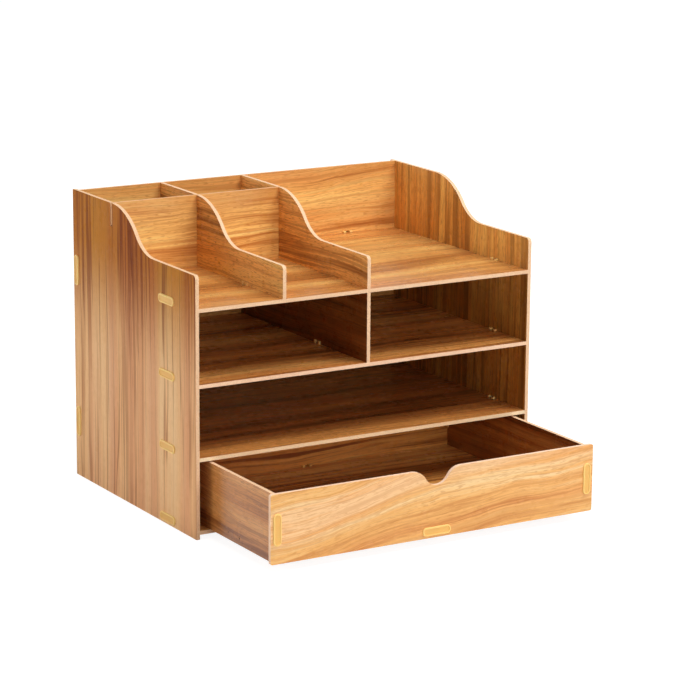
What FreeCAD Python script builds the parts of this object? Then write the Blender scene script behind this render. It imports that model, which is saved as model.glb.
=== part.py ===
import FreeCAD, Part
import math
import os
from FreeCAD import Vector

# Desk organizer of thin boards: three open trays with two tall pockets behind them, two bays side by
# side, one wide bay and a drawer. The boards plug into each other with tabs, snap connectors lock most
# of the tabs, and pins hold the drawer bottom between the drawer sides.
#
# Millimetres. X runs to the right, Y to the rear, Z up. The drawer stands part way out, where its slide
# is at rest, and the origin is on the floor under the middle of the whole organizer as it then stands.

# --- Driving dimensions --------------------------------------------------------------------------

BOARD = 3.3                 # thickness of every board
WIDTH = 340.0               # over the two side panels
DEPTH = 237.0               # front edges to rear edges of the side panels
HEIGHT = 267.0              # floor to the top of the side panels

BASE_LIFT = 4.3             # floor to the underside of the base panel
BACK_INSET = 5.2            # rear edges of the side panels to the rear face of the back panel
DRAWER_BAY = 61.1           # clear height over the base panel
LOWER_BAY = 60.9            # clear height over the lower shelf
MIDDLE_BAY = 62.5           # clear height over the middle shelf

LOW_WALL = 28.8             # low front part of the tray walls, over the top shelf
HIGH_RUN = 80.0             # level high part of the side panels, from their rear edges
SWELL_RADIUS = 60.0         # convex arc of the S curve between the high and the low part
HOLLOW_RADIUS = 42.0        # concave arc of the same curve
FRONT_CORNER = 3.5          # rounding at the front end of the tray walls

HOOK_DEPTH = 20.0           # depth of the hooks at the ends of the pocket board
HOOK_GAP = 1.0              # air under each hook in its open slot
HOOK_RECESS = 0.6           # end of each hook behind the face of the slotted board

DRAWER_OPEN = 114.0         # how far the drawer stands out at rest
DRAWER_SIDE_GAP = 5.2       # side panel to the end of the drawer front
DRAWER_LIFT = 0.3           # running gap under the drawer
DRAWER_TOP_GAP = 0.5        # running gap over the drawer front
DRAWER_REAR_GAP = 0.4       # closed drawer to the tips of the connector legs behind it
DRAWER_SIDE_INSET = 4.6     # end of the drawer front to the outer face of the drawer side
DRAWER_SIDE_DROP = 1.0      # top of the drawer front to the tops of the other drawer walls
DRAWER_FLOOR_LIFT = 4.2     # lower edges of the drawer walls to the underside of the drawer bottom
DRAWER_CORNER = 2.0         # rounded corners of the drawer front

NOTCH_DEPTH = 14.0          # finger notch in the top edge of the drawer front
NOTCH_SHOULDER = 15.0       # radius of its rounded shoulders
NOTCH_RADIUS = 13.0         # radius of its round bottom

FIT = 0.1                   # clearance on each side of whatever plugs into a slot or hole
TAB_LENGTH = 23.6           # tabs at the ends of the boards
PIN_WIDTH = 1.8             # square pins that hold the drawer bottom between the drawer sides
PIN_LENGTH = 12.0
PIN_SINK = 0.6              # outer face of the drawer side to the head of a pin
PIN_INSET = 62.0            # faces of the drawer to the nearest pins
PIN_SPACING = 20.0          # those pins to the next ones

HEAD_LENGTH = 28.0          # snap connector: rounded head plate outside the slotted board
HEAD_WIDTH = 7.8
HEAD_RISE = 1.2
HEAD_CORNER = 3.6
HEAD_RIM = 1.6              # raised rim round the sunk middle of the head
HEAD_SINK = 0.4
LEG_SPACING = 7.0           # two legs on each face of the tab, this far apart
LEG_WIDTH = 2.4
LEG_THICKNESS = 1.3
LEG_TIP = 0.2               # leg beyond its barb
LEG_GAP = 0.4               # top shelf to the legs of the joints next under it
BARB_OFFSET = 0.6           # inner face of the slotted board to the barb that locks the tabbed board
BARB_LENGTH = 1.8
BARB_DEPTH = 1.0            # barb into its hole in the tabbed board

SIDE_JOINT_INSET = 53.0     # front edges to the joints of the shelves with the side panels
BACK_JOINT_INSET = 53.4     # side panels to the joints of the shelves with the back panel
BACK_JOINT_DROP = 16.6      # lower shelf to the lower joints of the back panel with the side panels
POCKET_FOOT_INSET = 66.0    # front edges to the joint under the pocket divider
BAY_FOOT_INSET = 85.0       # front edges to the joint under the bay divider
TRAY_FOOT_INSET = 45.0      # front edges to the plain tab under the tray divider
BAY_HEAD_INSET = 150.0      # front edges to the plain tab over the bay divider

# --- Places worked out from them -----------------------------------------------------------------

rear = (DEPTH + DRAWER_OPEN + HEAD_RISE) / 2
front = rear - DEPTH
side_inner = WIDTH / 2 - BOARD
back_rear = rear - BACK_INSET
back_front = back_rear - BOARD

base_top = BASE_LIFT + BOARD
lower_top = base_top + DRAWER_BAY + BOARD
middle_top = lower_top + LOWER_BAY + BOARD
top_top = middle_top + MIDDLE_BAY + BOARD

# The tray divider stands in the middle, and the pocket divider halves the space to its left.
tray_x = 0.0
pocket_x = (-side_inner + tray_x - BOARD / 2) / 2
pocket_front = rear - HIGH_RUN
pocket_lap = (top_top + HEIGHT) / 2

leg_reach = BARB_OFFSET + BARB_LENGTH + LEG_TIP

drawer_bottom = base_top + DRAWER_LIFT
drawer_height = DRAWER_BAY - DRAWER_LIFT - DRAWER_TOP_GAP
drawer_top = drawer_bottom + drawer_height
drawer_wall_top = drawer_top - DRAWER_SIDE_DROP
drawer_half = side_inner - DRAWER_SIDE_GAP
drawer_side_outer = drawer_half - DRAWER_SIDE_INSET
drawer_side_inner = drawer_side_outer - BOARD
drawer_face = front - DRAWER_OPEN
drawer_tail = back_front - leg_reach - DRAWER_REAR_GAP - DRAWER_OPEN
drawer_floor = drawer_bottom + DRAWER_FLOOR_LIFT

RIGHT = Vector(1, 0, 0)
LEFT = Vector(-1, 0, 0)
REARWARD = Vector(0, 1, 0)
FORWARD = Vector(0, -1, 0)
UP = Vector(0, 0, 1)
DOWN = Vector(0, 0, -1)

SAME_POINT = 1e-6           # points closer than this need no line between them


# --- Outlines ------------------------------------------------------------------------------------

def box(x0, x1, y0, y1, z0, z1):
    """A block between two corners."""
    return Part.makeBox(x1 - x0, y1 - y0, z1 - z0, Vector(x0, y0, z0))


def s_curve(start, way, drop, swell, hollow):
    """Two tangent arcs that leave the level at start and reach a level lower by drop.

    way is +1 or -1 along the first axis. Each arc is given as its start, middle and end.
    """
    turn = math.acos(1 - drop / (swell + hollow))
    end = (start[0] + way * (swell + hollow) * math.sin(turn), start[1] - drop)

    def on_swell(angle):
        return (start[0] + way * swell * math.sin(angle), start[1] - swell * (1 - math.cos(angle)))

    def on_hollow(angle):
        return (end[0] - way * hollow * math.sin(angle), end[1] + hollow * (1 - math.cos(angle)))

    return [(start, on_swell(turn / 2), on_swell(turn)), (on_hollow(turn), on_hollow(turn / 2), end)]


def quarter(centre, radius, angle):
    """Quarter arc about centre, from angle (degrees) to angle + 90."""
    turns = [math.radians(angle + step) for step in (0, 45, 90)]
    return tuple((centre[0] + radius * math.cos(a), centre[1] + radius * math.sin(a)) for a in turns)


def reverse(arcs):
    """The same arcs, run through the other way."""
    return [arc[::-1] for arc in reversed(arcs)]


def outline_face(pieces, to_space):
    """Face inside a closed outline. Pieces are points and three-point arcs, joined by straight lines."""
    edges = []
    ends = [(piece, piece) if len(piece) == 2 else (piece[0], piece[2]) for piece in pieces]
    for index, piece in enumerate(pieces):
        if len(piece) == 3:
            edges.append(Part.Arc(*[to_space(*point) for point in piece]).toShape())
        here = to_space(*ends[index][1])
        there = to_space(*ends[(index + 1) % len(ends)][0])
        if here.distanceToPoint(there) > SAME_POINT:
            edges.append(Part.makeLine(here, there))
    return Part.Face(Part.Wire(edges))


def tray_wall(x, wall_rear, foot):
    """Upright board with its left face at x: high at the rear, low at the front, with an S curve between."""
    low = top_top + LOW_WALL
    pieces = [(front, foot), (wall_rear, foot), (wall_rear, HEIGHT)]
    pieces += s_curve((pocket_front, HEIGHT), -1, HEIGHT - low, SWELL_RADIUS, HOLLOW_RADIUS)
    pieces.append(quarter((front + FRONT_CORNER, low - FRONT_CORNER), FRONT_CORNER, 90))
    return outline_face(pieces, lambda y, z: Vector(x, y, z)).extrude(RIGHT * BOARD)


def notched_front(y):
    """Drawer front with its front face at y, rounded corners and a finger notch."""
    left, right = -drawer_half + DRAWER_CORNER, drawer_half - DRAWER_CORNER
    low, high = drawer_bottom + DRAWER_CORNER, drawer_top - DRAWER_CORNER
    half_curve = s_curve((0, 0), 1, NOTCH_DEPTH, NOTCH_SHOULDER, NOTCH_RADIUS)
    reach = half_curve[-1][-1][0]
    pieces = [quarter((left, low), DRAWER_CORNER, 180), quarter((right, low), DRAWER_CORNER, 270)]
    pieces.append(quarter((right, high), DRAWER_CORNER, 0))
    pieces += s_curve((reach, drawer_top), -1, NOTCH_DEPTH, NOTCH_SHOULDER, NOTCH_RADIUS)
    pieces += reverse(s_curve((-reach, drawer_top), 1, NOTCH_DEPTH, NOTCH_SHOULDER, NOTCH_RADIUS))
    pieces.append(quarter((left, high), DRAWER_CORNER, 90))
    return outline_face(pieces, lambda x, z: Vector(x, y, z)).extrude(REARWARD * BOARD)


# --- Boards before they are slotted and tabbed ---------------------------------------------------

def shelf(top):
    """Level board across the carcass with its upper face at top."""
    return box(-side_inner, side_inner, front, back_front, top - BOARD, top)


def pocket_board():
    """Upright board across the two pockets, hooked into the left side panel and the tray divider."""
    x0, x1 = -side_inner, tray_x - BOARD / 2
    y0, y1 = pocket_front, pocket_front + BOARD
    board = box(x0, x1, y0, y1, top_top, HEIGHT)
    reach = BOARD - HOOK_RECESS
    hooks = box(x0 - reach, x1 + reach, y0, y1, HEIGHT - HOOK_DEPTH, HEIGHT)
    half = BOARD / 2 + FIT
    lap = box(pocket_x - half, pocket_x + half, y0, y1, top_top, pocket_lap + FIT)
    return board.fuse(hooks).cut(lap).removeSplitter()


def cut_from_top(board, x, depth):
    """Open slot for the pocket board, cut down from the top edge of the upright board at x."""
    half = BOARD / 2
    slot = box(x - half, x + half, pocket_front - FIT, pocket_front + BOARD + FIT, depth, HEIGHT)
    return board.cut(slot)


def drawer_side(x):
    """Drawer side with its left face at x."""
    return box(x, x + BOARD, drawer_face + BOARD, drawer_tail - BOARD, drawer_bottom, drawer_wall_top)


hook_floor = HEIGHT - HOOK_DEPTH - HOOK_GAP
left_wall = tray_wall(-WIDTH / 2, rear, 0.0)
tray_divider = tray_wall(tray_x - BOARD / 2, back_front, top_top)
pocket_divider = tray_wall(pocket_x - BOARD / 2, back_front, top_top)

boards = {
    "left_side_panel": cut_from_top(left_wall, -side_inner - BOARD / 2, hook_floor),
    "right_side_panel": tray_wall(side_inner, rear, 0.0),
    "back_panel": box(-side_inner, side_inner, back_front, back_rear, BASE_LIFT, HEIGHT),
    "base_panel": shelf(base_top),
    "lower_shelf": shelf(lower_top),
    "middle_shelf": shelf(middle_top),
    "top_shelf": shelf(top_top),
    "bay_divider": box(tray_x - BOARD / 2, tray_x + BOARD / 2, front, back_front,
                       middle_top, top_top - BOARD),
    "tray_divider": cut_from_top(tray_divider, tray_x, hook_floor),
    "pocket_divider": cut_from_top(pocket_divider, pocket_x, pocket_lap),
    "pocket_board": pocket_board(),
    "drawer_front": notched_front(drawer_face),
    "drawer_back": box(-drawer_half, drawer_half, drawer_tail - BOARD, drawer_tail,
                       drawer_bottom, drawer_wall_top),
    "drawer_left_side": drawer_side(-drawer_side_outer),
    "drawer_right_side": drawer_side(drawer_side_inner),
    "drawer_bottom": box(-drawer_side_inner, drawer_side_inner, drawer_face + BOARD, drawer_tail - BOARD,
                         drawer_floor, drawer_floor + BOARD),
}


# --- Joints --------------------------------------------------------------------------------------
# Each joint is described about the middle of its slot on the outer face of the slotted board: local X
# along the slot, local Y across the tabbed board and local Z outward.

def block(length, width, z0, z1):
    """Block centred on the local Z axis."""
    return box(-length / 2, length / 2, -width / 2, width / 2, z0, z1)


def tab():
    """Tab of the tabbed board, filling the thickness of the slotted board."""
    return block(TAB_LENGTH, BOARD, -BOARD, 0)


def slot(with_connector):
    """Slot for a tab, widened in its middle for the legs of a connector if it has one."""
    opening = block(TAB_LENGTH + 2 * FIT, BOARD + 2 * FIT, -BOARD, 0)
    if with_connector:
        length = LEG_SPACING + LEG_WIDTH + 2 * FIT
        width = BOARD + 2 * LEG_THICKNESS + 4 * FIT
        opening = opening.fuse(block(length, width, -BOARD, 0))
    return opening


def leg(x, side):
    """Leg at x on one side of the tab, with a ramped barb near its tip."""
    inner = BOARD / 2 + FIT
    outer = inner + LEG_THICKNESS
    tip = -BOARD - leg_reach
    barb = -BOARD - BARB_OFFSET
    profile = [(inner, 0), (outer, 0), (outer, tip), (inner, tip)]
    profile += [(inner, tip + LEG_TIP), (BOARD / 2 - BARB_DEPTH, barb), (inner, barb)]
    face = outline_face(profile, lambda y, z: Vector(x - LEG_WIDTH / 2, side * y, z))
    return face.extrude(RIGHT * LEG_WIDTH)


def barb_hole(x):
    """Hole through the tabbed board for the two barbs at x."""
    half = LEG_WIDTH / 2 + FIT
    near = -BOARD - BARB_OFFSET + FIT
    return box(x - half, x + half, -BOARD / 2, BOARD / 2, near - BARB_LENGTH - 2 * FIT, near)


def connector():
    """Snap connector: a rounded head with a sunk middle, and two pairs of barbed legs."""
    x, y = HEAD_LENGTH / 2 - HEAD_CORNER, HEAD_WIDTH / 2 - HEAD_CORNER
    centres = [((x, y), 0), ((-x, y), 90), ((-x, -y), 180), ((x, -y), 270)]
    corners = [quarter(centre, HEAD_CORNER, angle) for centre, angle in centres]
    head = outline_face(corners, lambda a, b: Vector(a, b, 0)).extrude(UP * HEAD_RISE)
    sunk = block(HEAD_LENGTH - 2 * HEAD_RIM, HEAD_WIDTH - 2 * HEAD_RIM, HEAD_RISE - HEAD_SINK, HEAD_RISE)
    legs = [leg(x, side) for x in leg_places for side in (-1, 1)]
    return head.cut(sunk).multiFuse(legs).removeSplitter()


def placed(shape, origin, outward, along):
    """Copy of a shape in local axes, moved to the joint at origin."""
    rotation = FreeCAD.Rotation(along, outward.cross(along), outward, "XYZ")
    copy = shape.copy()
    copy.Placement = FreeCAD.Placement(Vector(*origin), rotation)
    return copy


leg_places = (-LEG_SPACING / 2, LEG_SPACING / 2)
snap_connector = connector()
barb_holes = [barb_hole(x) for x in leg_places]
groups = {}


def join(slotted, tabbed, origin, outward, along, group=None):
    """Plug one board into another, and lock the joint with a snap connector if a group is named."""
    boards[slotted] = boards[slotted].cut(placed(slot(group is not None), origin, outward, along))
    boards[tabbed] = boards[tabbed].fuse(placed(tab(), origin, outward, along))
    if group is not None:
        holes = [placed(hole, origin, outward, along) for hole in barb_holes]
        boards[tabbed] = boards[tabbed].cut(holes)
        groups.setdefault(group, []).append(placed(snap_connector, origin, outward, along))


shelves = {"base_panel": base_top, "lower_shelf": lower_top, "middle_shelf": middle_top, "top_shelf": top_top}
lower_back_joint = lower_top - BOARD - BACK_JOINT_DROP
upper_back_joint = top_top - BOARD - LEG_GAP - (LEG_SPACING + LEG_WIDTH) / 2

# Shelves, base and back panel into the side panels
for side, outward in (("left", LEFT), ("right", RIGHT)):
    panel = side + "_side_panel"
    connectors = side + "_side_connectors"
    face_x = outward.x * WIDTH / 2
    for name, top in shelves.items():
        origin = (face_x, front + SIDE_JOINT_INSET, top - BOARD / 2)
        join(panel, name, origin, outward, REARWARD, connectors)
    for level in (lower_back_joint, upper_back_joint):
        join(panel, "back_panel", (face_x, back_rear - BOARD / 2, level), outward, UP, connectors)

# Shelves and base into the back panel. Plain tabs at the base keep its rear edge clear of the drawer.
for name, top in shelves.items():
    group = None if name == "base_panel" else "back_connectors"
    for sign in (-1, 1):
        origin = (sign * (side_inner - BACK_JOINT_INSET), back_rear, top - BOARD / 2)
        join("back_panel", name, origin, REARWARD, RIGHT, group)

# Dividers into the back panel and the shelves
tray_middle = (top_top + HEIGHT) / 2
bay_middle = middle_top + MIDDLE_BAY / 2
join("back_panel", "pocket_divider", (pocket_x, back_rear, tray_middle), REARWARD, UP, "back_connectors")
join("back_panel", "tray_divider", (tray_x, back_rear, tray_middle), REARWARD, UP, "back_connectors")
join("back_panel", "bay_divider", (tray_x, back_rear, bay_middle), REARWARD, UP, "back_connectors")
join("top_shelf", "pocket_divider", (pocket_x, front + POCKET_FOOT_INSET, top_top - BOARD), DOWN, REARWARD,
     "divider_connectors")
join("middle_shelf", "bay_divider", (tray_x, front + BAY_FOOT_INSET, middle_top - BOARD), DOWN, REARWARD,
     "divider_connectors")
join("top_shelf", "tray_divider", (tray_x, front + TRAY_FOOT_INSET, top_top - BOARD), DOWN, REARWARD)
join("top_shelf", "bay_divider", (tray_x, front + BAY_HEAD_INSET, top_top), UP, REARWARD)

# Drawer sides and bottom into the drawer front and back
drawer_middle = (drawer_bottom + drawer_wall_top) / 2
for name, face_y, outward in (("front", drawer_face, FORWARD), ("back", drawer_tail, REARWARD)):
    panel = "drawer_" + name
    connectors = panel + "_connectors"
    for side, sign in (("left", -1), ("right", 1)):
        origin = (sign * (drawer_side_outer - BOARD / 2), face_y, drawer_middle)
        join(panel, "drawer_" + side + "_side", origin, outward, UP, connectors)
    join(panel, "drawer_bottom", (0, face_y, drawer_floor + BOARD / 2), outward, RIGHT, connectors)

# Drawer bottom between the drawer sides, on pins sunk into them
def pin(start, end, y):
    """Square bar along X at the level of the drawer bottom."""
    low = Vector(min(start, end), y - PIN_WIDTH / 2, drawer_floor + (BOARD - PIN_WIDTH) / 2)
    return Part.makeBox(abs(end - start), PIN_WIDTH, PIN_WIDTH, low)


for side, sign in (("left", -1), ("right", 1)):
    name = "drawer_" + side + "_side"
    head = sign * (drawer_side_outer - PIN_SINK)
    tip = head - sign * PIN_LENGTH
    for face_y, inward in ((drawer_face, 1), (drawer_tail, -1)):
        for inset in (PIN_INSET, PIN_INSET + PIN_SPACING):
            y = face_y + inward * inset
            hole = pin(sign * drawer_side_outer, tip, y)
            boards[name] = boards[name].cut(hole)
            boards["drawer_bottom"] = boards["drawer_bottom"].cut(hole)
            groups.setdefault("drawer_pins", []).append(pin(head, tip, y))


# --- Output --------------------------------------------------------------------------------------

os.makedirs("parts", exist_ok=True)
for name, board in boards.items():
    board.removeSplitter().exportStep(os.path.join("parts", name + ".step"))
for name, solids in groups.items():
    Part.makeCompound(solids).exportStep(os.path.join("parts", name + ".step"))
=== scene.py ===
"""Dresses and lights a desk organizer of laminated boards with a drawer.

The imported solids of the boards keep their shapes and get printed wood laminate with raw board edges. The
snap connectors are built again as moulded plates with rounded rims, and the drawer's pins as rounded square
bars with crowned heads. Metres, in the frame of the solids: X to the right, Y to the rear, Z up.
"""

import logging
import math
from dataclasses import dataclass
from enum import Enum
from functools import reduce

import bpy
import numpy as np
from mathutils import Matrix, Vector


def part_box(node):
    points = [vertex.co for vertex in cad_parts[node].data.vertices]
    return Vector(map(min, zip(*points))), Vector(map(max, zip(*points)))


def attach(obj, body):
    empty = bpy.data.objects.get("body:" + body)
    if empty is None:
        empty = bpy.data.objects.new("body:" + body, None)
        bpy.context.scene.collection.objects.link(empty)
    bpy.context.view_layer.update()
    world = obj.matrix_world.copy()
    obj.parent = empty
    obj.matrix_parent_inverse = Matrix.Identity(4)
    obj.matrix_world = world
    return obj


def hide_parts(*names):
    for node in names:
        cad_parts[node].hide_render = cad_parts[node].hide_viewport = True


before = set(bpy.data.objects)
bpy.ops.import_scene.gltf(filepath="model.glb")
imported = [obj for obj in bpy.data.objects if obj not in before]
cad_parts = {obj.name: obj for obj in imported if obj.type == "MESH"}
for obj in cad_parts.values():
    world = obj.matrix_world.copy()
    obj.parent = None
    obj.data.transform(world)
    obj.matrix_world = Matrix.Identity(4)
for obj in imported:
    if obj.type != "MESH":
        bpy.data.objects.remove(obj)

LOG = logging.getLogger("organizer")
MM = 0.001
SHARP_TURN = math.radians(40)
RIGHT, REAR, UP = Vector((1, 0, 0)), Vector((0, 1, 0)), Vector((0, 0, 1))

Triple = tuple[float, float, float]
Colour = Triple
Socket = bpy.types.NodeSocket
Shell = tuple[np.ndarray, np.ndarray, list[list[int]]]


def srgb(red: int, green: int, blue: int) -> Colour:
    """Linear colour of an 8-bit display colour.

    Args:
        red: red from 0 to 255.
        green: green from 0 to 255.
        blue: blue from 0 to 255.

    Returns:
        The three linear values from 0 to 1.
    """
    share = np.array([red, green, blue]) / 255
    linear = np.where(share <= 0.04045, share / 12.92, ((share + 0.055) / 1.055) ** 2.4)
    return tuple(float(value) for value in linear)


# --- Shader graphs -------------------------------------------------------------------------------

class Graph:
    """Short calls for building the nodes of one material, world or node group."""

    def __init__(self, tree: bpy.types.NodeTree) -> None:
        """Starts from an emptied node tree."""
        tree.nodes.clear()
        self.tree = tree

    def node(self, kind: str, settings: dict | None = None, **inputs: object) -> bpy.types.Node:
        """Adds a node.

        Args:
            kind: the node's type without its "ShaderNode" prefix, or a group's full type name.
            settings: the node's own properties by name.
            **inputs: input sockets by name, with _ for a space. A socket links, anything else is its value.

        Returns:
            The new node.
        """
        full_name = kind if kind.startswith("Node") else "ShaderNode" + kind
        made = self.tree.nodes.new(full_name)
        for name, value in (settings or {}).items():
            setattr(made, name, value)
        for name, value in inputs.items():
            self.feed(made.inputs[name.replace("_", " ")], value)
        return made

    def feed(self, socket: Socket, value: object) -> None:
        """Fills an input.

        Args:
            socket: the input.
            value: another node's output, which is linked, or a colour, vector or number.
        """
        if isinstance(value, Socket):
            self.tree.links.new(value, socket)
        elif socket.type == "RGBA":
            socket.default_value = (*value, 1.0)
        else:
            socket.default_value = value

    def fill(self, node: bpy.types.Node, *values: object) -> bpy.types.Node:
        """Fills a node's first inputs in order, where several share a name.

        Args:
            node: the node.
            *values: a socket or value for each input.

        Returns:
            The node.
        """
        for socket, value in zip(node.inputs, values):
            self.feed(socket, value)
        return node

    def math(self, operation: str, *values: object) -> Socket:
        """Result of a Math node."""
        return self.fill(self.node("Math", {"operation": operation}), *values).outputs[0]

    def times(self, *values: object) -> Socket:
        """Product of two or more values."""
        return reduce(lambda first, second: self.math("MULTIPLY", first, second), values)

    def plus(self, *values: object) -> Socket:
        """Sum of two or more values."""
        return reduce(lambda first, second: self.math("ADD", first, second), values)

    def minus(self, first: object, second: object) -> Socket:
        """First value less the second."""
        return self.math("SUBTRACT", first, second)

    def largest(self, *values: object) -> Socket:
        """Largest of two or more values."""
        return reduce(lambda first, second: self.math("MAXIMUM", first, second), values)

    def mix(self, share: object, first: object, second: object, blend: str = "MIX") -> Socket:
        """Colour between two colours.

        Args:
            share: 0 for the first colour, 1 for the second.
            first: a colour or socket.
            second: a colour or socket.
            blend: the blend type of the Mix node.

        Returns:
            The mixed colour's socket.
        """
        made = self.node("Mix", {"data_type": "RGBA", "blend_type": blend})
        for identifier, value in (("Factor_Float", share), ("A_Color", first), ("B_Color", second)):
            socket = next(item for item in made.inputs if item.identifier == identifier)
            self.feed(socket, value)
        return next(item for item in made.outputs if item.identifier == "Result_Color")

    def step(self, value: object, low: float, high: float, to: tuple[float, float] = (0.0, 1.0)) -> Socket:
        """Smooth step of a value between two limits.

        Args:
            value: a number or socket.
            low: where the step starts.
            high: where it ends, which may be lower than where it starts.
            to: what is put out at its start and at its end.

        Returns:
            The step's socket.
        """
        made = self.node("MapRange", {"interpolation_type": "SMOOTHSTEP"}, Value=value, From_Min=low,
                         From_Max=high, To_Min=to[0], To_Max=to[1])
        return made.outputs["Result"]

    def combine(self, x: object, y: object, z: object) -> Socket:
        """Vector made of three values."""
        return self.node("CombineXYZ", X=x, Y=y, Z=z).outputs[0]

    def noise(self, vector: object, detail: float, roughness: float = 0.5, scale: float = 1.0) -> Socket:
        """Value of a noise."""
        made = self.node("TexNoise", Vector=vector, Scale=scale, Detail=detail, Roughness=roughness)
        return made.outputs["Fac"]

    def group(self, tree: bpy.types.NodeTree, **inputs: object) -> bpy.types.Node:
        """Places a shared node group with its own input values."""
        return self.node("Group", {"node_tree": tree}, **inputs)


def new_material(name: str) -> tuple[bpy.types.Material, Graph]:
    """Starts a material.

    Args:
        name: the material's name.

    Returns:
        The material and its empty graph.
    """
    material = bpy.data.materials.new(name)
    material.use_nodes = True
    return material, Graph(material.node_tree)


FLOAT, COLOUR, VECTOR = "NodeSocketFloat", "NodeSocketColor", "NodeSocketVector"


def new_group(name: str, takes: dict[str, str], gives: dict[str, str]
              ) -> tuple[Graph, bpy.types.NodeOutputs, bpy.types.Node]:
    """Starts a node group with its sockets.

    Args:
        name: the group's name.
        takes: the kind of each input by name.
        gives: the kind of each output by name.

    Returns:
        The graph, the sockets that the group is given and its output node.
    """
    tree = bpy.data.node_groups.new(name, "ShaderNodeTree")
    for way, ports in (("INPUT", takes), ("OUTPUT", gives)):
        for port, kind in ports.items():
            tree.interface.new_socket(port, in_out=way, socket_type=kind)
    graph = Graph(tree)
    return graph, graph.node("NodeGroupInput").outputs, graph.node("NodeGroupOutput")


class SharedEffects:
    """The node groups that several finishes use, each built once."""

    def __init__(self) -> None:
        """Builds the groups."""
        self.wood_print = self._wood_print()
        self.board_edge = self._board_edge()
        self.wear = self._wear()

    @staticmethod
    def _wood_print() -> bpy.types.NodeTree:
        """Printed wood: X of the vector runs along the grain and Y across it.

        Every streak is a noise stretched along X and read at a Y that wanders slowly with X. The tone adds
        broad bands, streaks with all their finer octaves, and arches, which are a noise of the distance
        to a line that dips under the surface. Growth lines lie where a narrower noise passes a level that
        the bands raise and lower, long veins where a noise crosses its middle value, short pores where a
        very fine noise peaks, and a broad noise shifts the hue.

        Returns:
            The group.
        """
        numbers = ("Wander", "Bands", "Streaks", "Figure", "Contrast", "Lines", "Veins", "Pores")
        colours = ("Light", "Middle", "Dark", "Blush")
        takes = {"Vector": VECTOR, **dict.fromkeys(numbers, FLOAT), **dict.fromkeys(colours, COLOUR)}
        gives = {"Color": COLOUR, "Height": FLOAT, "Polish": FLOAT}
        graph, given, out = new_group("wood_print", takes, gives)
        parts = graph.node("SeparateXYZ", Vector=given["Vector"]).outputs
        along, across, depth = parts["X"], parts["Y"], parts["Z"]

        def stretched(per_along: float, side: Socket, per_side: object, per_depth: float, detail: float = 1.0,
                      roughness: float = 0.5) -> Socket:
            """Value of a noise with its own scales, in features per metre.

            Args:
                per_along: the scale along the grain.
                side: the place across the grain.
                per_side: the scale across the grain.
                per_depth: the scale through the board.
                detail: how many finer octaves it has.
                roughness: how strong they are.

            Returns:
                The noise's socket.
            """
            place = graph.combine(graph.times(along, per_along), graph.times(side, per_side),
                                  graph.times(depth, per_depth))
            return graph.noise(place, detail, roughness)

        slow_swing, quick_swing = 3.0, 0.35
        slow = graph.minus(stretched(5.5, across, 11.0, 60.0), 0.5)
        quick = graph.minus(stretched(26.0, across, 70.0, 60.0), 0.5)
        wander = graph.times(slow, given["Wander"], slow_swing)
        wobble = graph.times(quick, given["Wander"], quick_swing)
        side = graph.plus(across, graph.plus(wander, wobble))

        band_share, dip_height, dip_floor, arches_per_metre = 0.38, 0.16, -0.055, 330.0
        bands = stretched(1.3, side, given["Bands"], 90.0)
        streaks = stretched(3.5, side, given["Streaks"], 120.0, 4.0, 0.72)
        under = graph.plus(graph.times(stretched(3.2, across, 0.0, 50.0), dip_height), dip_floor)
        reach = graph.math("SQRT", graph.plus(graph.times(side, side), graph.times(under, under)))
        arches = graph.noise(graph.combine(graph.times(reach, arches_per_metre), 0.0, depth), 3.0, 0.65)
        plain = graph.times(streaks, graph.minus(1.0, given["Figure"]))
        figured = graph.plus(graph.times(arches, given["Figure"]), plain)
        tone = graph.plus(graph.times(bands, band_share), graph.times(figured, 1 - band_share))
        tone = graph.plus(graph.times(graph.minus(tone, 0.5), given["Contrast"]), 0.5)

        line_fineness, line_lift, vein_fineness = 1.7, 0.35, 2.4
        crest = stretched(2.6, side, graph.times(given["Streaks"], line_fineness), 110.0, 1.0, 0.6)
        crest = graph.plus(crest, graph.times(graph.minus(bands, 0.5), line_lift))
        fading = graph.step(stretched(7.0, side, 60.0, 40.0), 0.34, 0.58, (0.25, 1.0))
        line = graph.times(graph.step(crest, 0.545, 0.60), fading, given["Lines"])

        fault = stretched(1.6, side, graph.times(given["Bands"], vein_fineness), 70.0)
        thin = graph.step(graph.math("ABSOLUTE", graph.minus(fault, 0.5)), 0.022, 0.004)
        broken = graph.step(stretched(9.0, side, 150.0, 40.0), 0.36, 0.60)
        vein = graph.times(thin, broken, given["Veins"])

        pore_strength, hair_polish, tone_polish = 0.8, 0.08, 0.06
        hairs = stretched(16.0, side, 1100.0, 300.0, 2.0, 0.6)
        peaks = graph.step(stretched(150.0, side, 1500.0, 500.0, 0.0), 0.58, 0.70)
        pore = graph.times(peaks, given["Pores"], pore_strength)
        hair = graph.times(graph.step(hairs, 0.50, 0.72), given["Pores"])

        hue = graph.step(stretched(1.8, side, 34.0, 20.0), 0.42, 0.66)
        body = graph.mix(graph.step(tone, 0.38, 0.55), given["Light"], given["Middle"])
        body = graph.mix(graph.step(tone, 0.53, 0.70), body, given["Dark"])
        body = graph.mix(hue, body, graph.mix(1.0, body, given["Blush"], "MULTIPLY"))
        marks = graph.largest(vein, pore, hair, line)

        graph.feed(out.inputs["Color"], graph.mix(marks, body, given["Dark"]))
        graph.feed(out.inputs["Height"], graph.minus(hairs, graph.times(peaks, pore_strength)))
        polish = graph.plus(graph.times(hairs, hair_polish), graph.times(tone, tone_polish))
        graph.feed(out.inputs["Polish"], polish)
        return graph.tree

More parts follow.
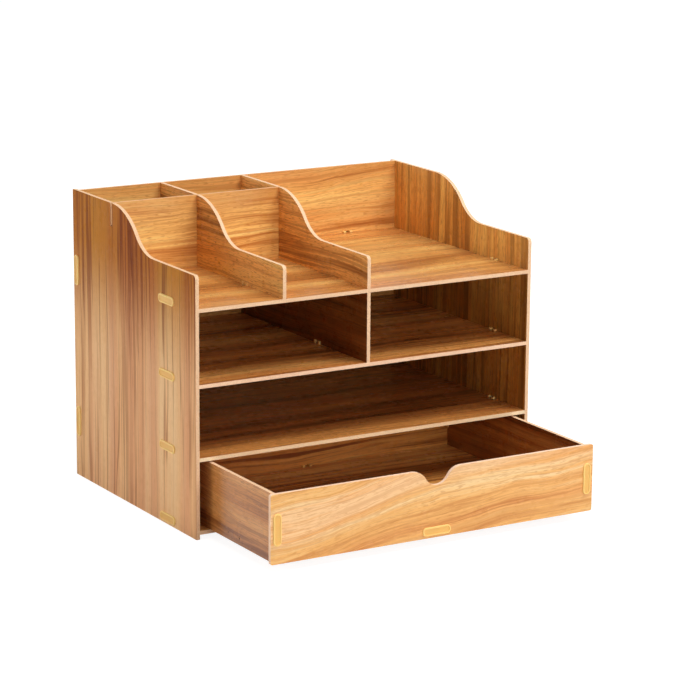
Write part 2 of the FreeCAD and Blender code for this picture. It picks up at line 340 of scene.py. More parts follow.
    @staticmethod
    def _board_edge() -> bpy.types.NodeTree:
        """Raw edge of a pressed board: a mask from the face's normal, and a pale colour with fibres.

        The mask is 0 where the normal lies along the board's thickness and 1 where it is square to it.

        Returns:
            The group.
        """
        takes = {"Vector": VECTOR, "Normal": VECTOR, "Thickness": VECTOR, "Pale": COLOUR, "Fibre": COLOUR}
        graph, given, out = new_group("board_edge", takes, {"Mask": FLOAT, "Color": COLOUR, "Height": FLOAT})
        lean = graph.fill(graph.node("VectorMath", {"operation": "DOT_PRODUCT"}), given["Normal"],
                          given["Thickness"])
        fibres = graph.noise(given["Vector"], 3.0, 0.6, scale=900.0)
        patches = graph.noise(given["Vector"], 2.0, scale=38.0)
        fibre_share, patch_share = 0.55, 0.25
        share = graph.plus(graph.times(graph.step(fibres, 0.42, 0.72), fibre_share),
                           graph.step(patches, 0.45, 0.75, (0.0, patch_share)))
        graph.feed(out.inputs["Mask"], graph.step(graph.math("ABSOLUTE", lean.outputs["Value"]), 0.75, 0.60))
        graph.feed(out.inputs["Color"], graph.mix(share, given["Pale"], given["Fibre"]))
        graph.feed(out.inputs["Height"], fibres)
        return graph.tree

    @staticmethod
    def _wear() -> bpy.types.NodeTree:
        """Handling marks: faint smudges that dull the surface.

        Returns:
            The group.
        """
        graph, given, out = new_group("wear", {"Vector": VECTOR, "Amount": FLOAT}, {"Dull": FLOAT})
        smudge = graph.noise(given["Vector"], 4.0, 0.65, scale=22.0)
        graph.feed(out.inputs["Dull"], graph.times(graph.step(smudge, 0.40, 0.72), given["Amount"]))
        return graph.tree


# --- Finishes ------------------------------------------------------------------------------------

class Axis(Enum):
    """A direction of a board, as the output of a Separate XYZ node."""

    X = "X"
    Y = "Y"
    Z = "Z"

    @property
    def unit(self) -> Triple:
        """Unit vector along the axis."""
        return tuple(float(self.value == letter) for letter in "XYZ")


class Lay(Enum):
    """How the laminate lies on a board: the axes along its grain, across it and through the board."""

    PANEL = (Axis.Z, Axis.Y, Axis.X)
    SHELF = (Axis.X, Axis.Y, Axis.Z)
    BACK = (Axis.X, Axis.Z, Axis.Y)
    DIVIDER = (Axis.Y, Axis.Z, Axis.X)


@dataclass(frozen=True)
class WoodPrint:
    """Colours and figure of one sheet of printed wood laminate.

    Bands and streaks are counts per metre across the grain, and wander is in metres.
    """

    light: Colour
    middle: Colour
    dark: Colour
    contrast: float
    lines: float
    blush: Colour = srgb(240, 225, 220)
    wander: float = 0.008
    bands: float = 26.0
    streaks: float = 150.0
    figure: float = 0.2
    veins: float = 0.45
    pores: float = 0.35

    def place(self, graph: Graph, tree: bpy.types.NodeTree, vector: Socket) -> bpy.types.Node:
        """Places the shared wood print in a material with this sheet's values."""
        return graph.group(tree, Vector=vector, **{name.title(): value for name, value in vars(self).items()})


@dataclass(frozen=True)
class RawEdge:
    """Colours of a board's raw edge: its pale ground and its fibres."""

    pale: Colour = srgb(243, 204, 164)
    fibre: Colour = srgb(220, 172, 128)


@dataclass(frozen=True)
class Fade:
    """A slow change of the print along one axis of the object, from one place to another.

    The print's colour is raised to a power, which strengthens its figure, and multiplied by a tint; on the
    left side panel both are painted shade.
    """

    axis: Axis
    start: float
    end: float
    tint: Colour
    power: float = 1.0


@dataclass(frozen=True)
class LaminateFinish:
    """Satin laminate on a board: its print, how it is laid and its raw edges.

    The shift, in metres, and the turn, in radians, place the board on its sheet.
    """

    sheet: WoodPrint
    lay: Lay
    shift: Triple
    turn: float = 0.0
    fade: Fade | None = None
    edge: RawEdge = RawEdge()
    roughness: float = 0.18
    edge_dullness: float = 0.35
    smudges: float = 0.10
    relief: float = 0.04 * MM
    relief_strength: float = 0.5
    specular: float = 0.35

    def build(self, name: str, effects: SharedEffects) -> bpy.types.Material:
        """Makes the material.

        Args:
            name: the material's name.
            effects: the shared node groups.

        Returns:
            The material, reading Object coordinates.
        """
        material, graph = new_material(name)
        place = graph.node("TexCoord").outputs["Object"]
        parts = graph.node("SeparateXYZ", Vector=place).outputs
        laid = graph.node("Mapping", Vector=graph.combine(*(parts[axis.value] for axis in self.lay.value)),
                          Location=self.shift, Rotation=(0.0, 0.0, self.turn)).outputs[0]
        wood = self.sheet.place(graph, effects.wood_print, laid).outputs
        printed = wood["Color"]
        if self.fade:
            share = graph.step(parts[self.fade.axis.value], self.fade.start, self.fade.end)
            deep = graph.node("Gamma", Color=printed, Gamma=self.fade.power).outputs["Color"]
            printed = graph.mix(share, printed, graph.mix(1.0, deep, self.fade.tint, "MULTIPLY"))
        edge = graph.group(effects.board_edge, Vector=place, Pale=self.edge.pale, Fibre=self.edge.fibre,
                           Normal=graph.node("NewGeometry").outputs["Normal"],
                           Thickness=self.lay.value[-1].unit).outputs
        wear = graph.group(effects.wear, Vector=place, Amount=self.smudges).outputs
        gloss = graph.plus(wood["Polish"], self.roughness, wear["Dull"],
                           graph.times(edge["Mask"], self.edge_dullness))
        height = graph.plus(wood["Height"], graph.times(edge["Mask"], edge["Height"]))
        bump = graph.node("Bump", Strength=self.relief_strength, Distance=self.relief, Height=height)
        shader = graph.node("BsdfPrincipled", Base_Color=graph.mix(edge["Mask"], printed, edge["Color"]),
                            Roughness=gloss, Normal=bump.outputs[0], Specular_IOR_Level=self.specular)
        graph.node("OutputMaterial", Surface=shader.outputs[0])
        return material


@dataclass(frozen=True)
class MouldedPlastic:
    """Amber moulded plastic, darker in the sunk middle of a connector's head, which is painted shade."""

    raised: Colour = srgb(255, 213, 133)
    # the sunk colour is painted shade in the head's middle, and also the darker tone of the plastic's random
    # clouding
    sunk: Colour = srgb(245, 191, 110)
    clouding: float = 0.2
    roughness: float = 0.38
    gritty: float = 0.08
    smudges: float = 0.12
    relief: float = 0.03 * MM
    relief_strength: float = 0.4
    specular: float = 0.15
    glow_share: float = 0.12
    glow_depth: float = 1.5 * MM
    refraction: float = 1.49

    def build(self, name: str, effects: SharedEffects) -> bpy.types.Material:
        """Makes the material, which reads how sunk a point is from the piece's UV map.

        Args:
            name: the material's name.
            effects: the shared node groups.

        Returns:
            The material.
        """
        material, graph = new_material(name)
        coordinates = graph.node("TexCoord").outputs
        station = graph.node("SeparateXYZ", Vector=coordinates["UV"]).outputs["Y"]
        cloud = graph.noise(coordinates["Object"], 2.0, scale=160.0)
        grit = graph.noise(coordinates["Object"], 1.0, scale=2600.0)
        wear = graph.group(effects.wear, Vector=coordinates["Object"], Amount=self.smudges).outputs
        # painted shade: the sunk middle of the head takes the darker colour
        colour = graph.mix(graph.step(station, 0.55, 0.8), self.raised, self.sunk)
        colour = graph.mix(graph.step(cloud, 0.45, 0.75, (0.0, self.clouding)), colour, self.sunk)
        gloss = graph.plus(graph.times(grit, self.gritty), self.roughness, wear["Dull"])
        bump = graph.node("Bump", Strength=self.relief_strength, Distance=self.relief, Height=grit)
        shader = graph.node("BsdfPrincipled", Base_Color=colour, Roughness=gloss, Normal=bump.outputs[0],
                            Subsurface_Weight=self.glow_share, Subsurface_Scale=self.glow_depth,
                            IOR=self.refraction, Specular_IOR_Level=self.specular)
        graph.node("OutputMaterial", Surface=shader.outputs[0])
        return material


@dataclass(frozen=True)
class PinSteel:
    """Dull browned steel of the pins in the drawer sides."""

    bright: Colour = srgb(50, 34, 24)
    stained: Colour = srgb(20, 10, 6)
    roughness: float = 0.7
    smudges: float = 0.3
    metallic: float = 0.1
    specular: float = 0.1

    def build(self, name: str, effects: SharedEffects) -> bpy.types.Material:
        """Makes the material, stained in patches.

        Args:
            name: the material's name.
            effects: the shared node groups.

        Returns:
            The material.
        """
        material, graph = new_material(name)
        place = graph.node("TexCoord").outputs["Object"]
        patches = graph.noise(place, 2.0, scale=700.0)
        wear = graph.group(effects.wear, Vector=place, Amount=self.smudges).outputs
        colour = graph.mix(graph.step(patches, 0.35, 0.6), self.bright, self.stained)
        shader = graph.node("BsdfPrincipled", Base_Color=colour,
                            Roughness=graph.plus(wear["Dull"], self.roughness),
                            Metallic=self.metallic, Specular_IOR_Level=self.specular)
        graph.node("OutputMaterial", Surface=shader.outputs[0])
        return material


# --- Boards --------------------------------------------------------------------------------------

@dataclass
class BoardSet:
    """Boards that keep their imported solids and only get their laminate."""

    effects: SharedEffects
    finishes: dict[str, LaminateFinish]

    def dress(self) -> None:
        """Gives every board its own material."""
        for node, finish in self.finishes.items():
            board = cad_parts[node]
            board.data.materials.clear()
            board.data.materials.append(finish.build(node + "_laminate", self.effects))
            LOG.info("board %s: grain along %s", node, finish.lay.value[0].value)


class Carcass(BoardSet):
    """Side panels, back panel, shelves, dividers and pocket board."""

    def __init__(self, effects: SharedEffects) -> None:
        """Lays the laminate of each carcass board.

        Args:
            effects: the shared node groups.
        """
        # the outer print's pale, pinkish tones are partly print and partly painted sheen, a reflection of the
        # white floor put into the colour; the left side panel's specular is nearly off for it
        outer = WoodPrint(light=srgb(250, 207, 154), middle=srgb(247, 195, 139), dark=srgb(166, 98, 58),
                          blush=srgb(242, 226, 230), wander=0.004, bands=24.0, figure=0.05, contrast=0.85,
                          lines=0.55, veins=0.65, pores=0.2)
        inner = WoodPrint(light=srgb(255, 208, 116), middle=srgb(236, 172, 88), dark=srgb(132, 82, 32),
                          blush=srgb(246, 230, 214), wander=0.003, streaks=140.0, figure=0.05, contrast=1.0,
                          lines=0.65, veins=0.7, pores=0.6)
        rear = WoodPrint(light=srgb(253, 214, 132), middle=srgb(248, 191, 109), dark=srgb(178, 108, 48),
                         wander=0.009, bands=28.0, streaks=170.0, figure=0.15, contrast=1.45, lines=0.45,
                         pores=0.6)
        pocket = WoodPrint(light=srgb(255, 226, 144), middle=srgb(255, 206, 121), dark=srgb(200, 128, 62),
                           wander=0.009, bands=28.0, streaks=170.0, figure=0.15, contrast=1.4, lines=0.6,
                           pores=0.8)
        level = WoodPrint(light=srgb(252, 201, 118), middle=srgb(233, 166, 88), dark=srgb(148, 86, 38),
                          contrast=1.15, lines=0.6, pores=0.8)
        bay = WoodPrint(light=srgb(246, 188, 107), middle=srgb(223, 152, 79), dark=srgb(126, 70, 28),
                        contrast=1.5, lines=0.7, pores=0.75)
        lower = WoodPrint(light=srgb(220, 150, 78), middle=srgb(190, 117, 58), dark=srgb(104, 58, 24),
                          contrast=1.3, lines=0.65, pores=0.75)
        upright = WoodPrint(light=srgb(253, 206, 124), middle=srgb(248, 186, 107), dark=srgb(150, 94, 46),
                            blush=srgb(252, 240, 228), wander=0.006, bands=30.0, streaks=170.0, figure=0.1,
                            contrast=1.35, lines=0.55, pores=0.75)
        shaded = WoodPrint(light=srgb(172, 110, 54), middle=srgb(140, 83, 34), dark=srgb(82, 40, 12),
                           wander=0.006, bands=30.0, streaks=170.0, figure=0.1, contrast=1.8, lines=0.5)
        # painted shade: the left side panel's print turns darker and deeper in colour towards its top, where
        # less light falls
        painted_top_shade = Fade(Axis.Z, start=0.12, end=0.235, tint=srgb(206, 186, 112), power=1.5)
        deepening = Fade(Axis.Z, start=0.225, end=0.16, tint=srgb(226, 219, 199))
        # painted shade: the pocket board's raw edges are darker, for the hook ends that sit in shade in the
        # side panels' slots; its top edge shares this colour
        hook_shade_edge = RawEdge(srgb(228, 174, 122), srgb(204, 150, 98))
        # painted light: the middle and lower shelves' raw edges get paler colours, standing in for light that
        # reaches them less than the upper edges
        painted_light_edge = RawEdge(srgb(252, 213, 178), srgb(230, 183, 142))
        paler_edge = RawEdge(srgb(255, 229, 188), srgb(240, 198, 150))
        super().__init__(effects, {
            "left_side_panel": LaminateFinish(outer, Lay.PANEL, shift=(5.45, 2.205, 0.0), fade=painted_top_shade,
                                              specular=0.02),
            "right_side_panel": LaminateFinish(inner, Lay.PANEL, shift=(0.75, 2.547, 0.4), fade=deepening),
            "back_panel": LaminateFinish(rear, Lay.BACK, shift=(2.209, 0.2345, 0.9)),
            "pocket_board": LaminateFinish(pocket, Lay.BACK, shift=(5.137, 1.103, 1.7), edge=hook_shade_edge),
            "base_panel": LaminateFinish(bay, Lay.SHELF, shift=(4.1, 0.5, 2.2)),
            "lower_shelf": LaminateFinish(lower, Lay.SHELF, shift=(2.449, 1.389, 0.3), edge=paler_edge),
            "middle_shelf": LaminateFinish(bay, Lay.SHELF, shift=(2.353, 1.866, 1.1), edge=painted_light_edge),
            "top_shelf": LaminateFinish(level, Lay.SHELF, shift=(5.797, 0.7914, 0.6)),
            "bay_divider": LaminateFinish(shaded, Lay.DIVIDER, shift=(8.5, 0.7, 1.3)),
            "tray_divider": LaminateFinish(upright, Lay.DIVIDER, shift=(5.067, 2.53, 2.1)),
            "pocket_divider": LaminateFinish(upright, Lay.DIVIDER, shift=(3.623, 1.21, 2.9)),
        })


class Drawer(BoardSet):
    """Front, back, sides and bottom of the drawer."""

    def __init__(self, effects: SharedEffects) -> None:
        """Lays the laminate of each drawer board.

        Args:
            effects: the shared node groups.
        """
        face = WoodPrint(light=srgb(251, 213, 154), middle=srgb(243, 183, 106), dark=srgb(200, 124, 58),
                         blush=srgb(255, 244, 246), wander=0.013, bands=24.0, figure=0.1, contrast=1.2,
                         lines=0.3, veins=0.35, pores=0.5)
        wall = WoodPrint(light=srgb(235, 171, 103), middle=srgb(209, 139, 75), dark=srgb(136, 76, 34),
                         blush=srgb(236, 216, 224), wander=0.006, bands=28.0, figure=0.1, contrast=1.2,
                         lines=0.55, pores=0.6)
        # painted shade: a darker copy of the wall print for the drawer's right side, whose inner face lies in
        # shade
        painted_shade_wall = WoodPrint(light=srgb(184, 128, 70), middle=srgb(158, 98, 48), dark=srgb(104, 58, 26),
                             wander=0.006, bands=28.0, figure=0.1, contrast=1.5, lines=0.45)
        inside = WoodPrint(light=srgb(255, 204, 118), middle=srgb(238, 168, 86), dark=srgb(148, 86, 37),
                           wander=0.007, contrast=2.0, lines=0.5)
        paler_edge = RawEdge(srgb(255, 218, 186), srgb(238, 188, 150))
        super().__init__(effects, {
            "drawer_front": LaminateFinish(face, Lay.BACK, shift=(0.9819, 0.4198, 0.8), turn=-0.1, edge=paler_edge),
            "drawer_back": LaminateFinish(inside, Lay.BACK, shift=(1.4, 0.6, 1.8)),
            "drawer_left_side": LaminateFinish(wall, Lay.DIVIDER, shift=(2.5, 0.8, 0.2)),
            "drawer_right_side": LaminateFinish(painted_shade_wall, Lay.DIVIDER, shift=(3.6, 1.1, 1.2)),
            "drawer_bottom": LaminateFinish(inside, Lay.SHELF, shift=(4.7, 1.6, 2.4)),
        })


# --- Snap connectors and pins --------------------------------------------------------------------

@dataclass(frozen=True)
class Joint:
    """Where a fastener sits: its middle on the board's face, its way out and the way of its length."""

    origin: Triple
    outward: Vector
    along: Vector

    def matrix(self) -> np.ndarray:
        """4 x 4 matrix from the fastener's own axes (X along, Z outward) to the object's."""
        turn = Matrix((self.along, self.outward.cross(self.along), self.outward)).transposed().to_4x4()
        return np.array(Matrix.Translation(self.origin) @ turn)


def ring_faces(rings: int, count: int) -> list[list[int]]:
    """Faces of a closed shell of rings: four-sided ones between rings, and a cap at each end.

    Point k of ring r has the number r * count + k.

    Args:
        rings: the number of rings.
        count: the number of points in each.

    Returns:
        The faces' corners.
    """
    here = np.arange(rings - 1)[:, None] * count + np.arange(count)
    after = np.arange(rings - 1)[:, None] * count + np.roll(np.arange(count), -1)
    walls = np.stack([here, after, after + count, here + count], axis=-1).reshape(-1, 4)
    caps = [list(range(count))[::-1], list(range((rings - 1) * count, rings * count))]
    return walls.tolist() + caps


def join_shells(shells: list[Shell]) -> Shell:
    """Puts several shells into one.

    Args:
        shells: each shell's points, their profile stations and its faces.

    Returns:
        The points, stations and faces of all.
    """
    offset = np.cumsum([0] + [len(points) for points, _, _ in shells])
    faces = [[corner + int(first) for corner in face]
             for (_, _, shell), first in zip(shells, offset) for face in shell]
    points, stations = (np.concatenate([shell[part] for shell in shells]) for part in (0, 1))
    return points, stations, faces


@dataclass(frozen=True)
class SnapConnector:
    """Shape of one connector: a rounded head plate with a raised rim, and four barbed legs."""

    length: float = 28.0 * MM
    width: float = 7.8 * MM
    rise: float = 1.2 * MM
    corner: float = 3.6 * MM
    least_corner: float = 0.25 * MM
    rim: float = 1.6 * MM
    sink: float = 0.4 * MM
    softness: float = 0.55 * MM
    leg_spacing: float = 7.0 * MM
    leg_width: float = 2.4 * MM
    leg_thickness: float = 1.3 * MM
    leg_inner: float = 1.75 * MM
    leg_root: float = 0.3 * MM
    leg_tip: float = 5.9 * MM
    barb_start: float = 3.9 * MM
    barb_end: float = 5.7 * MM
    barb_inner: float = 0.65 * MM
    corner_steps: int = 9
    shoulder_steps: int = 6

    def head(self) -> Shell:
        """Head plate as a profile carried round a rounded rectangle.

        At angle a of a corner and inset d, a point lies at the corner's centre plus (radius - d) times
        (cos a, sin a), where the centre moves inward once d passes the radius. The profile runs up the
        outer wall, over the rim's rounded shoulders and down to the sunk middle.

        Returns:
            The points, how far each lies along the profile from 0 to 1, and the faces.
        """
        turn = np.linspace(0.0, np.pi / 2, self.shoulder_steps)
        soft, floor = self.softness, self.rise - self.sink
        outer = np.stack([soft * (1 - np.cos(turn)), self.rise - soft * (1 - np.sin(turn))])
        inner = np.stack([self.rim - self.sink + self.sink * np.sin(turn),
                          floor + self.sink * np.cos(turn)])
        inset, height = np.concatenate([[[0.0], [0.0]], outer, inner], axis=1)
        quarter = np.linspace(0.0, np.pi / 2, self.corner_steps)
        angle = np.concatenate([quarter + step * np.pi / 2 for step in range(4)])
        sign_x = np.repeat([1, -1, -1, 1], self.corner_steps)
        sign_y = np.repeat([1, 1, -1, -1], self.corner_steps)
        radius = np.maximum(self.corner - inset, self.least_corner)[:, None]
        centre_x = self.length / 2 - inset[:, None] - radius
        centre_y = self.width / 2 - inset[:, None] - radius
        points = np.stack([sign_x * centre_x + radius * np.cos(angle),
                           sign_y * centre_y + radius * np.sin(angle),
                           np.broadcast_to(height[:, None], (len(height), len(angle)))], axis=-1)
        rings, count = points.shape[:2]
        return points.reshape(-1, 3), np.repeat(np.linspace(0.0, 1.0, rings), count), ring_faces(rings, count)

    def leg(self, x: float, side: int) -> Shell:
        """Leg as a barbed profile carried across its width.

        Args:
            x: the leg's middle along the head.
            side: +1 or -1, the face of the tab that it lies on.

        Returns:
            The points, their profile stations (all 0) and the faces.
        """
        outer = self.leg_inner + self.leg_thickness
        profile = np.array([
            (self.leg_inner, self.leg_root), (outer, self.leg_root), (outer, -self.leg_tip),
            (self.leg_inner, -self.leg_tip), (self.leg_inner, -self.barb_end),
            (self.barb_inner, -self.barb_start), (self.leg_inner, -self.barb_start),
        ])
        count = len(profile)
        left = np.column_stack([np.full(count, x - self.leg_width / 2), side * profile[:, 0], profile[:, 1]])
        right = left + (self.leg_width, 0.0, 0.0)
        faces = [face[::side] for face in ring_faces(2, count)]
        return np.concatenate([left, right]), np.zeros(2 * count), faces

    def shape(self) -> Shell:
        """The whole connector in its own axes: points, profile stations and faces."""
        legs = [self.leg(way * self.leg_spacing / 2, side) for way in (-1, 1) for side in (-1, 1)]
        return join_shells([self.head(), *legs])


@dataclass(frozen=True)
class DrawerPin:
    """Shape of one pin: a rounded square bar with a crowned head and a blunt point."""

    width: float = 1.76 * MM
    length: float = 12.5 * MM
    crown: float = 0.3 * MM
    crown_turn: float = 0.9 * math.pi / 2
    point: float = 1.5 * MM
    point_share: float = 0.35
    recess: float = 0.05 * MM
    squareness: float = 6.0
    section_steps: int = 24
    crown_steps: int = 5

    def shape(self) -> Shell:
        """Rings of a superellipse carried from the point up to the crown.

        At angle t the section lies at half the width times (cos t, sin t), each to the power 2 / squareness
        with its own sign. The crown is most of a quarter ellipse, closed by a small flat cap.

        Returns:
            The points, their profile stations (all 0) and the faces.
        """
        rise = np.linspace(0.0, self.crown_turn, self.crown_steps)
        share = np.concatenate([[self.point_share, 1.0], np.cos(rise)])
        height = np.concatenate([[-self.length, self.point - self.length],
                                 self.crown * (np.sin(rise) - 1.0)]) - self.recess
        angle = np.linspace(0.0, 2 * np.pi, self.section_steps, endpoint=False)
        ring = np.stack([np.cos(angle), np.sin(angle)], axis=-1)
        ring = np.sign(ring) * np.abs(ring) ** (2 / self.squareness) * self.width / 2
        points = np.empty((len(share), self.section_steps, 3))
        points[..., :2] = share[:, None, None] * ring
        points[..., 2] = height[:, None]
        faces = ring_faces(len(share), self.section_steps)
        return points.reshape(-1, 3), np.zeros(len(share) * self.section_steps), faces


@dataclass(frozen=True)
class FastenerGroup:
    """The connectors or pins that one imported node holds, built again as one piece."""

    node: str
    body: str
    joints: list[Joint]
    pattern: SnapConnector | DrawerPin = SnapConnector()
    finish: str = "connector_plastic"

    def build(self, material: bpy.types.Material) -> None:
        """Builds the piece, rides it on its body and hides its node.

        Args:
            material: the plastic or the steel.
        """
        points, stations, faces = self.pattern.shape()
        local = np.column_stack([points, np.ones(len(points))])
        placed = [((joint.matrix() @ local.T).T[:, :3], stations, faces) for joint in self.joints]
        points, stations, faces = join_shells(placed)
        mesh = bpy.data.meshes.new(self.node + "_shaped")
        mesh.from_pydata(points.tolist(), [], faces)
        corners = np.zeros(len(mesh.loops), dtype=np.int32)
        mesh.loops.foreach_get("vertex_index", corners)
        layer = mesh.uv_layers.new(name="profile")
        layer.data.foreach_set("uv", np.column_stack([np.zeros(len(corners)), stations[corners]]).ravel())
        mesh.shade_smooth()
        mesh.set_sharp_from_angle(angle=SHARP_TURN)
        mesh.materials.append(material)
        piece = bpy.data.objects.new(self.node + "_shaped", mesh)
        bpy.context.scene.collection.objects.link(piece)
        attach(piece, self.body)
        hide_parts(self.node)
        low, high = (np.array(corner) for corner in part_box(self.node))
        off = max(np.abs(points.min(0) - low).max(), np.abs(points.max(0) - high).max())
        LOG.info("%s: %d, box within %.2f mm", self.node, len(self.joints), off / MM)


def middle(node: str, axis: int) -> float:
    """Middle of a board along axis 0, 1 or 2."""
    low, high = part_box(node)
    return (low[axis] + high[axis]) / 2


@dataclass(frozen=True)
class ConnectorLayout:
    """Where the connectors sit, worked out from the boxes of the boards."""

    side_inset: float = 53.0 * MM
    back_inset: float = 53.4 * MM
    back_drop: float = 16.6 * MM
    back_rise: float = 5.1 * MM
    back_middle: float = 1.65 * MM
    pocket_foot: float = 66.0 * MM
    bay_foot: float = 85.0 * MM
    shelves: tuple[str, ...] = ("base_panel", "lower_shelf", "middle_shelf", "top_shelf")

    def groups(self) -> list[FastenerGroup]:
        """All the groups of the carcass and the drawer."""
        return [*self._sides(), self._back(), self._dividers(), *self._drawer()]

    def _sides(self) -> list[FastenerGroup]:
        """Level connectors at the shelves and upright ones at the back panel, on both side panels.

        Returns:
            The left group and the right one.
        """
        groups = []
        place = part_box("back_panel")[1].y - self.back_middle
        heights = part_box("lower_shelf")[0].z - self.back_drop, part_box("top_shelf")[0].z - self.back_rise
        for side, way in (("left", -1), ("right", 1)):
            low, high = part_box(side + "_side_panel")
            face = low.x if way < 0 else high.x
            joints = [Joint((face, low.y + self.side_inset, middle(shelf, 2)), way * RIGHT, REAR)
                      for shelf in self.shelves]
            joints += [Joint((face, place, height), way * RIGHT, UP) for height in heights]
            groups.append(FastenerGroup(side + "_side_connectors", "carcass", joints))
        return groups

    def _back(self) -> FastenerGroup:
        """Connectors behind the back panel, at the shelves and the dividers.

        Returns:
            The group.
        """
        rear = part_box("back_panel")[1].y
        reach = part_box("right_side_panel")[0].x - self.back_inset
        joints = [Joint((way * reach, rear, middle(shelf, 2)), REAR, RIGHT)
                  for shelf in self.shelves[1:] for way in (-1, 1)]
        tray_level = (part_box("top_shelf")[1].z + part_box("back_panel")[1].z) / 2
        bay_level = (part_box("middle_shelf")[1].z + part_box("top_shelf")[0].z) / 2
        levels = {"pocket_divider": tray_level, "tray_divider": tray_level, "bay_divider": bay_level}
        joints += [Joint((middle(divider, 0), rear, level), REAR, UP) for divider, level in levels.items()]
        return FastenerGroup("back_connectors", "carcass", joints)

    def _dividers(self) -> FastenerGroup:
        """Connectors under the shelves, at the feet of the pocket divider and the bay divider.

        Returns:
            The group.
        """
        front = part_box("left_side_panel")[0].y
        feet = (("pocket_divider", "top_shelf", self.pocket_foot),
                ("bay_divider", "middle_shelf", self.bay_foot))
        joints = [Joint((middle(divider, 0), front + inset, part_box(shelf)[0].z), -UP, REAR)
                  for divider, shelf, inset in feet]
        return FastenerGroup("divider_connectors", "carcass", joints)

    def _drawer(self) -> list[FastenerGroup]:
        """Connectors on the drawer front and behind the drawer back.

        Returns:
            The front group and the back one.
        """
        groups = []
        for end, way in (("front", -1), ("back", 1)):
            low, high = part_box("drawer_" + end)
            face = low.y if way < 0 else high.y
            joints = [Joint((middle(side, 0), face, middle("drawer_left_side", 2)), way * REAR, UP)
                      for side in ("drawer_left_side", "drawer_right_side")]
            joints.append(Joint((0.0, face, middle("drawer_bottom", 2)), way * REAR, RIGHT))
            groups.append(FastenerGroup("drawer_" + end + "_connectors", "drawer", joints))
        return groups


@dataclass(frozen=True)
class PinLayout:
    """Where the pins sit, worked out from the box that holds them all."""

    spacing: float = 20.0 * MM

    def group(self) -> FastenerGroup:
        """Two pins at each end of each drawer side.

        Returns:
            The group.
        """
        low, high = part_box("drawer_pins")
        level, half = (low.z + high.z) / 2, (high.z - low.z) / 2
        first, last = low.y + half, high.y - half
        joints = []
        for side, way in (("left", -1), ("right", 1)):
            near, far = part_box("drawer_" + side + "_side")
            face = near.x if way < 0 else far.x
            joints += [Joint((face, place, level), way * RIGHT, REAR)
                       for place in (first, first + self.spacing, last - self.spacing, last)]
        return FastenerGroup("drawer_pins", "drawer", joints, DrawerPin(), "pin_steel")


# --- Floor, light and camera ---------------------------------------------------------------------

@dataclass(frozen=True)
class SoftBox:
    """A large square lamp that looks at a point."""

    name: str
    place: Triple
    size: float
    watts: float
    target: Triple = (0.0, 0.0, 0.12)

    def hang(self) -> None:
        """Adds the lamp."""
        data = bpy.data.lights.new(self.name, "AREA")
        data.size = self.size
        data.energy = self.watts
        lamp = bpy.data.objects.new(self.name, data)
        lamp.location = self.place
        toward = Vector(self.target) - Vector(self.place)
        lamp.rotation_euler = toward.to_track_quat("-Z", "Y").to_euler()
        bpy.context.scene.collection.objects.link(lamp)


@dataclass(frozen=True)
class Viewpoint:
    """The camera: its place, the way it looks in degrees, and its lens in millimetres."""

    place: Triple
    azimuth: float
    elevation: float
    roll: float
    lens: float

    def set_up(self) -> None:
        """Adds the camera and makes it the scene's own."""
        azimuth, elevation, roll = map(math.radians, (self.azimuth, self.elevation, self.roll))
        ahead = Vector((-math.sin(azimuth) * math.cos(elevation), math.cos(azimuth) * math.cos(elevation),
                        -math.sin(elevation)))
        right = ahead.cross(UP).normalized()
        up = right.cross(ahead)
        rolled_right = math.cos(roll) * right + math.sin(roll) * up
        rolled_up = -math.sin(roll) * right + math.cos(roll) * up
        turn = Matrix((rolled_right, rolled_up, -ahead)).transposed().to_4x4()
        data = bpy.data.cameras.new("camera")
        data.lens = self.lens
        camera = bpy.data.objects.new("camera", data)
        camera.matrix_world = Matrix.Translation(self.place) @ turn
        bpy.context.scene.collection.objects.link(camera)
        bpy.context.scene.camera = camera


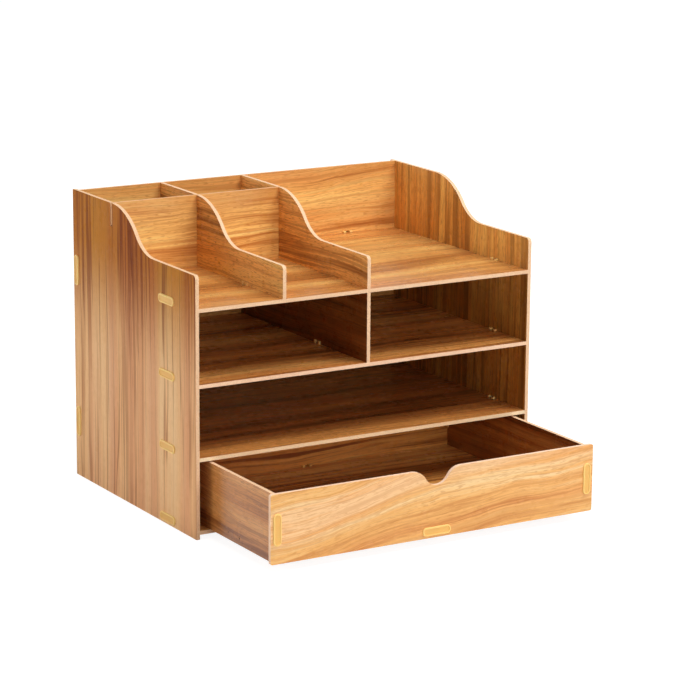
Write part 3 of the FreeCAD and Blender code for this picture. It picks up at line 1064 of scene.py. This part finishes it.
@dataclass(frozen=True)
class Studio:
    """White floor and background, soft boxes and the camera."""

    floor_half: float = 7.0
    floor_grey: float = 0.85
    shown_grey: float = 0.30
    glow: tuple[float, float] = (0.90, 1.0)
    glow_reach: tuple[float, float] = (0.25, 0.8)
    ambient: float = 0.03
    lamps: tuple[SoftBox, ...] = (
        SoftBox("front", (0.0, -2.15, 0.85), size=1.1, watts=16.5),
        SoftBox("high_right", (0.9, -0.9, 2.0), size=1.0, watts=28.5),
        SoftBox("overhead", (0.0, -0.5, 2.3), size=1.0, watts=18.0),
        SoftBox("left_rear", (-0.85, 1.9, 0.5), size=0.5, watts=10.5),
        SoftBox("left", (-1.9, 0.5, 0.8), size=0.9, watts=10.6),
        SoftBox("right_rear", (1.9, 0.8, 1.0), size=1.0, watts=12.0),
    )
    viewpoint: Viewpoint = Viewpoint((-1.24007, -2.10075, 0.72011), azimuth=-30.91, elevation=13.492,
                                     roll=0.456, lens=144.7)

    def build(self) -> None:
        """Sets up the floor, the background, the lamps and the camera."""
        self._floor()
        self._background()
        for lamp in self.lamps:
            lamp.hang()
        self.viewpoint.set_up()
        bpy.context.scene.view_settings.view_transform = "Standard"
        LOG.info("studio: %d lamps", len(self.lamps))

    @staticmethod
    def _seen_directly(graph: Graph) -> Socket:
        """1 for rays from the camera, from a mirror or through glass, and 0 for the rest."""
        path = graph.node("LightPath").outputs
        return graph.largest(path["Is Camera Ray"], path["Is Glossy Ray"], path["Is Transmission Ray"])

    def _floor(self) -> None:
        """Plain pale floor, which shows white with a faint shadow close to the object.

        Its glow rises with the distance from the object, so that the lamps' own light on it, which fades
        there, isn't missed.
        """
        half = self.floor_half
        mesh = bpy.data.meshes.new("floor")
        mesh.from_pydata([(-half, -half, 0), (half, -half, 0), (half, half, 0), (-half, half, 0)], [],
                         [(0, 1, 2, 3)])
        floor = bpy.data.objects.new("floor", mesh)
        bpy.context.scene.collection.objects.link(floor)
        material, graph = new_material("floor_white")
        away = graph.fill(graph.node("VectorMath", {"operation": "LENGTH"}),
                          graph.node("TexCoord").outputs["Object"])
        strength = graph.step(away.outputs["Value"], *self.glow_reach, self.glow)
        matt = graph.node("BsdfDiffuse", Color=[self.floor_grey] * 3)
        shown = graph.node("BsdfDiffuse", Color=[self.shown_grey] * 3)
        glow = graph.node("Emission", Color=(1.0, 1.0, 1.0), Strength=strength)
        bright = graph.fill(graph.node("AddShader"), shown.outputs[0], glow.outputs[0])
        switch = graph.fill(graph.node("MixShader"), self._seen_directly(graph), matt.outputs[0],
                            bright.outputs[0])
        graph.node("OutputMaterial", Surface=switch.outputs[0])
        mesh.materials.append(material)

    def _background(self) -> None:
        """White background, with a weaker even light on the object."""
        world = bpy.data.worlds.new("background")
        world.use_nodes = True
        graph = Graph(world.node_tree)
        strength = graph.step(self._seen_directly(graph), 0.0, 1.0, (self.ambient, 1.0))
        sky = graph.node("Background", Color=(1.0, 1.0, 1.0), Strength=strength)
        graph.node("OutputWorld", Surface=sky.outputs[0])
        bpy.context.scene.world = world


# --- Whole object --------------------------------------------------------------------------------

def corners(box: tuple[Vector, Vector]) -> list[list[float]]:
    """Two corners as plain lists."""
    return [[float(value) for value in corner] for corner in box]


def main() -> None:
    """Dresses the boards, builds the connectors and the pins, and sets up the studio."""
    logging.basicConfig(level=logging.INFO, format="%(name)s: %(message)s")
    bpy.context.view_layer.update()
    effects = SharedEffects()
    Carcass(effects).dress()
    Drawer(effects).dress()
    plastic = MouldedPlastic().build("connector_plastic", effects)
    for group in ConnectorLayout().groups():
        group.build(plastic)
    PinLayout().group().build(PinSteel().build("pin_steel", effects))
    Studio().build()


if __name__ == "__main__":
    main()
